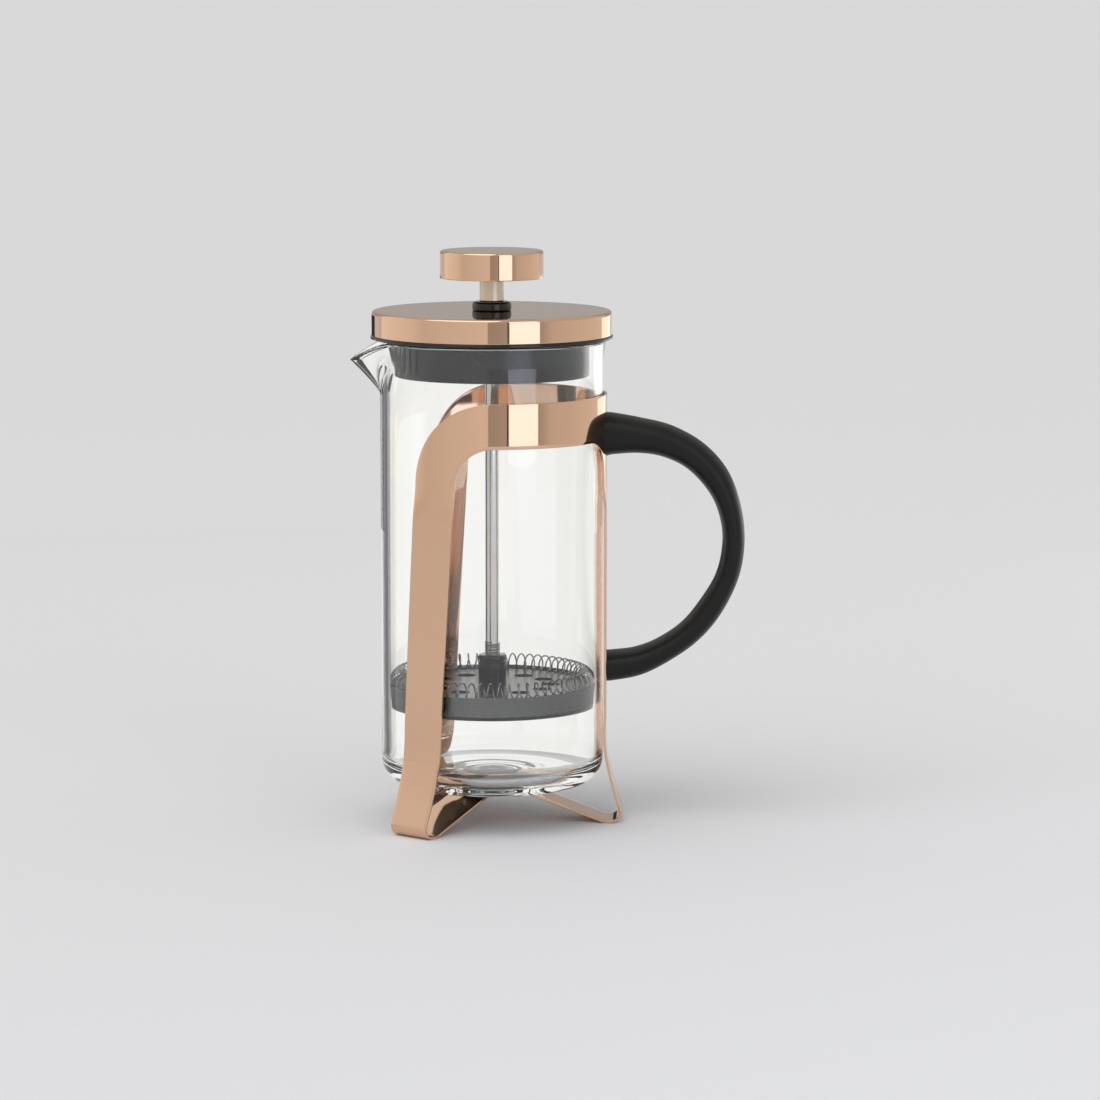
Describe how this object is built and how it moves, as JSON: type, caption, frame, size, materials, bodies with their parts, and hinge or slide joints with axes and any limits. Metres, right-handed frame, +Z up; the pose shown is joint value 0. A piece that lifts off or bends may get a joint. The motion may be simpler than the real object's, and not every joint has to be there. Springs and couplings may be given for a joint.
{
  "type": "french press",
  "caption": "Glass coffee press with a copper frame, three bent legs, a D-shaped side handle, a turning lid with a strainer skirt, and a plunger with a mesh filter.",
  "frame": {"origin": "centre of the bottom of the object's box, on the surface that it stands on; the beaker's axis is at X = -17.2 mm", "axes": "+Z up, +X towards the handle, -X towards the spout"},
  "size_m": [0.1236, 0.0754, 0.1796],
  "materials": {
    "copper": "polished rose-gold copper plate",
    "steel": "satin stainless steel",
    "mesh_steel": "woven and coiled stainless wire",
    "glass": "clear borosilicate glass",
    "black_handle": "matte black moulded plastic",
    "black_liner": "glossy black moulded plastic",
    "pad": "soft black pad"
  },
  "bodies": {
    "frame": {"frame": "copper", "hub_rivet": "steel", "rest_pad": "pad", "handle": "black_handle", "handle_insert_upper": "steel", "handle_screw_upper": "steel", "handle_insert_lower": "steel", "handle_screw_lower": "steel"},
    "beaker": {"glass_beaker": "glass"},
    "lid_guide": {"rod_bushing": "black_liner", "bushing_retainer": "steel"},
    "lid": {"lid_cap": "copper", "lid_liner": "black_liner"},
    "plunger": {"stem_sleeve": "steel", "knob_cap": "copper", "knob_core": "black_liner", "knob_insert": "steel", "plunger_rod": "steel", "filter_base": "black_liner", "filter_mesh": "mesh_steel", "spiral_plate": "steel", "coil_spring": "mesh_steel", "filter_lock_nut": "black_liner"}
  },
  "joints": [
    {"name": "beaker_lift", "type": "slide", "parent": "frame", "child": "beaker", "axis": [0, 0, 1], "range_m": [0, 0.13]},
    {"name": "lid_lift", "type": "slide", "parent": "beaker", "child": "lid_guide", "axis": [0, 0, 1], "range_m": [0, 0.125]},
    {"name": "lid_turn", "type": "hinge", "parent": "lid_guide", "child": "lid", "pos_m": [-0.0172, 0, 0.155], "axis": [0, 0, 1], "continuous": true},
    {"name": "plunger_press", "type": "slide", "parent": "lid_guide", "child": "plunger", "axis": [0, 0, 1], "range_m": [0, 0.09]}
  ]
}
